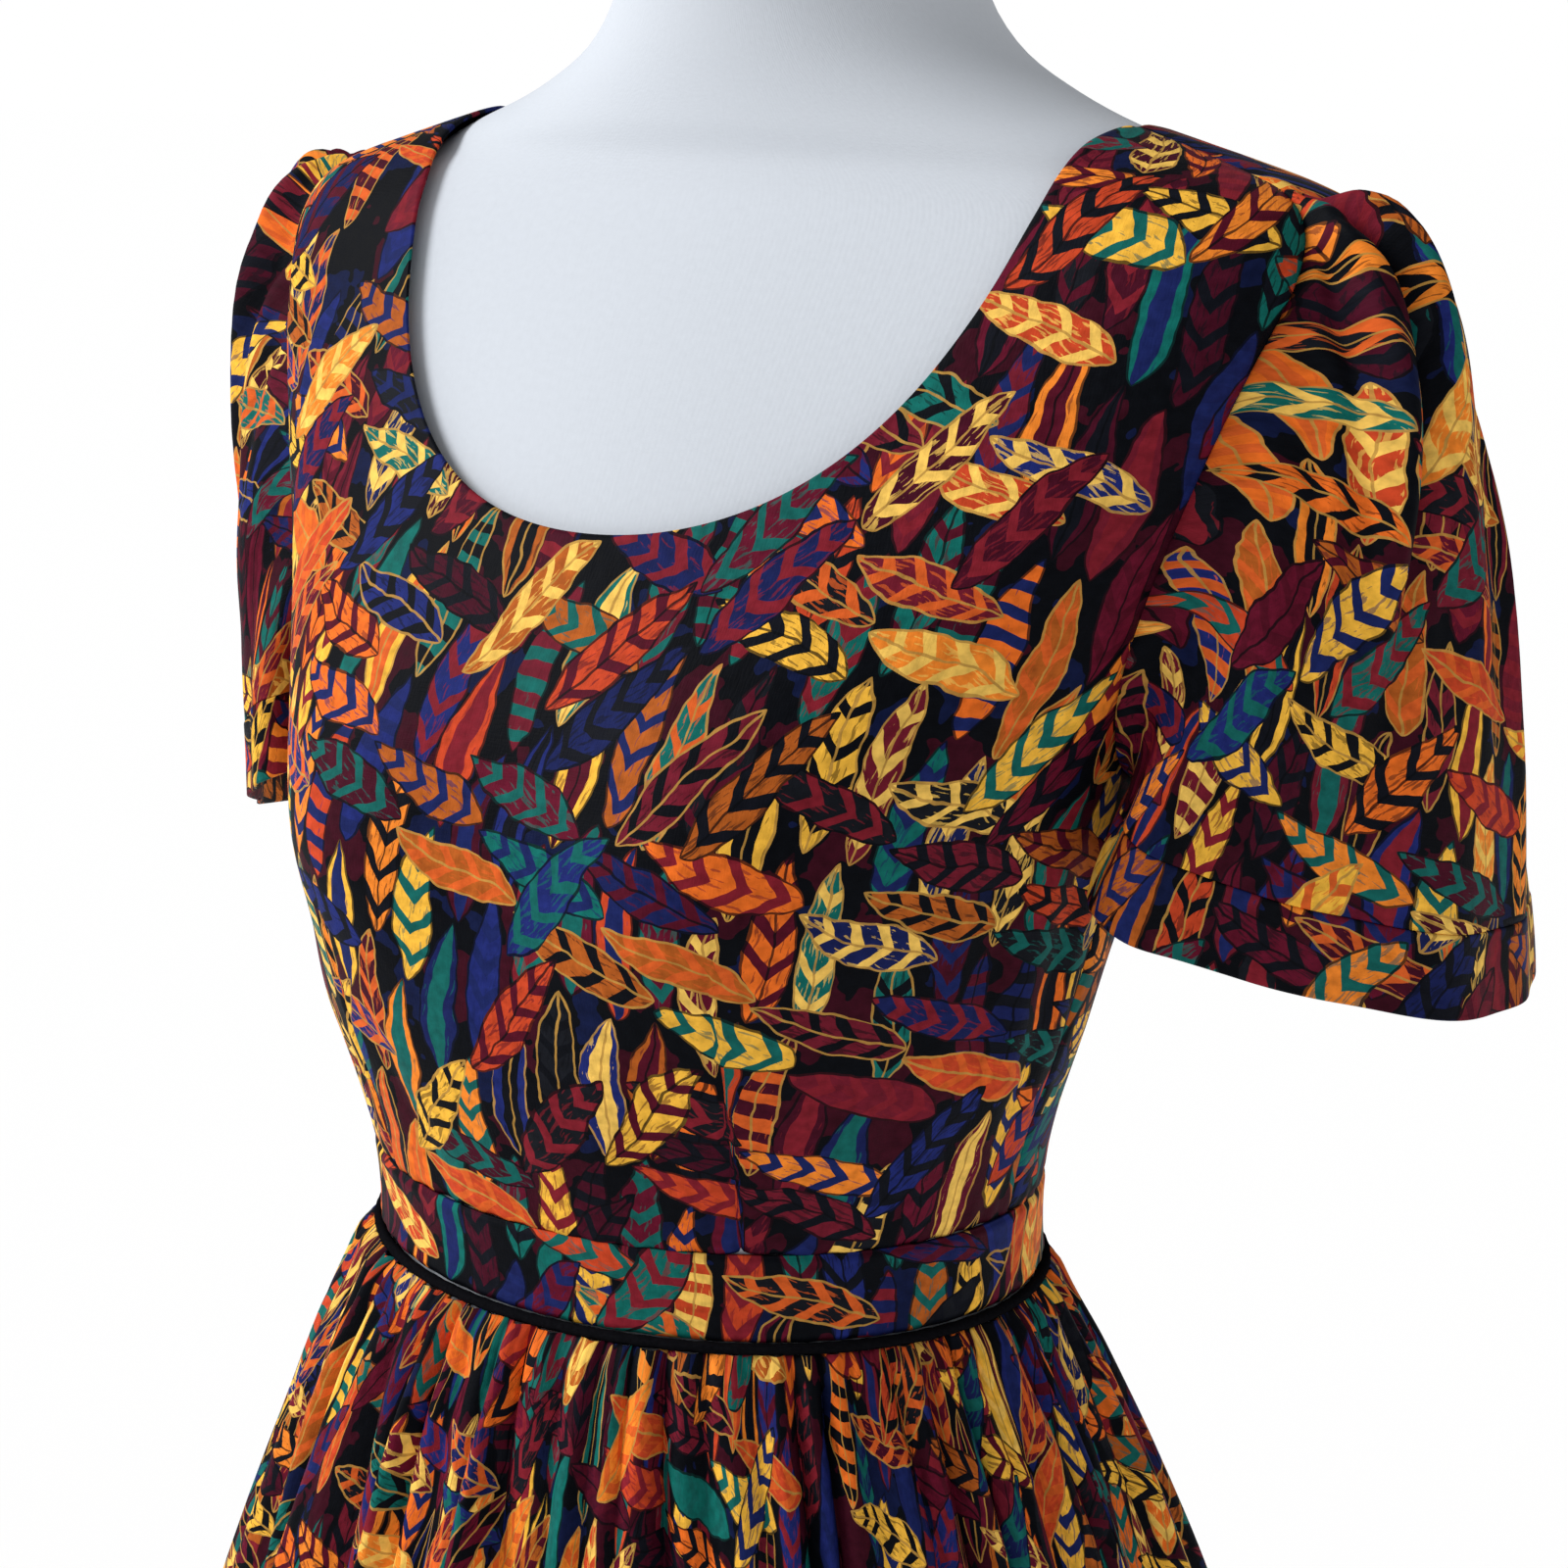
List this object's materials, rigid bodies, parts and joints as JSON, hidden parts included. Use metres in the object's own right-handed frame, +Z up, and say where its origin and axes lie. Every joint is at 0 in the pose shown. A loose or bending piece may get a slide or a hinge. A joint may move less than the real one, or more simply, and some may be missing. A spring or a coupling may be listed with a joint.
{
  "type": "fit and flare dress on a limbless dress form with a stand",
  "caption": "Fit and flare dress with a scoop neck, short gathered sleeves, a waistband and a gathered skirt, worn by a limbless dress form on a pole and a round base.",
  "frame": {"origin": "centre of the stand base's underside, on the floor", "axes": "+Z up the pole and the body, the front of the dress faces -Y, the wearer's left side is +X"},
  "size_m": [0.5674, 0.5237, 1.5294],
  "materials": {
    "print": "woven cotton with a slight sheen, printed all over in burgundy, navy, orange, gold and teal",
    "piping": "dark woven cotton",
    "jersey": "fine white knit, stretched smooth",
    "neck_cap": "satin white",
    "pole": "satin",
    "base": "satin black",
    "zip": "satin black enamel"
  },
  "bodies": {
    "dress_and_form": {"bodice_front": "print", "bodice_back_left": "print", "bodice_back_right": "print", "sleeve_left": "print", "sleeve_right": "print", "cuff_left": "print", "cuff_right": "print", "waistband_front": "print", "waistband_back_left": "print", "waistband_back_right": "print", "skirt_front": "print", "skirt_back_left": "print", "skirt_back_right": "print", "waist_piping": "piping", "form_body": "jersey", "form_neck_cap": "neck_cap", "stand_pole": "pole", "stand_base": "base", "zip_slider": "zip"},
    "pull": {"zip_pull": "zip"}
  },
  "joints": [
    {"name": "pull_swing", "type": "hinge", "parent": "dress_and_form", "child": "pull", "pos_m": [0, 0.13829, 1.34457], "axis": [1, 0, 0], "range_deg": [0, 150]}
  ]
}
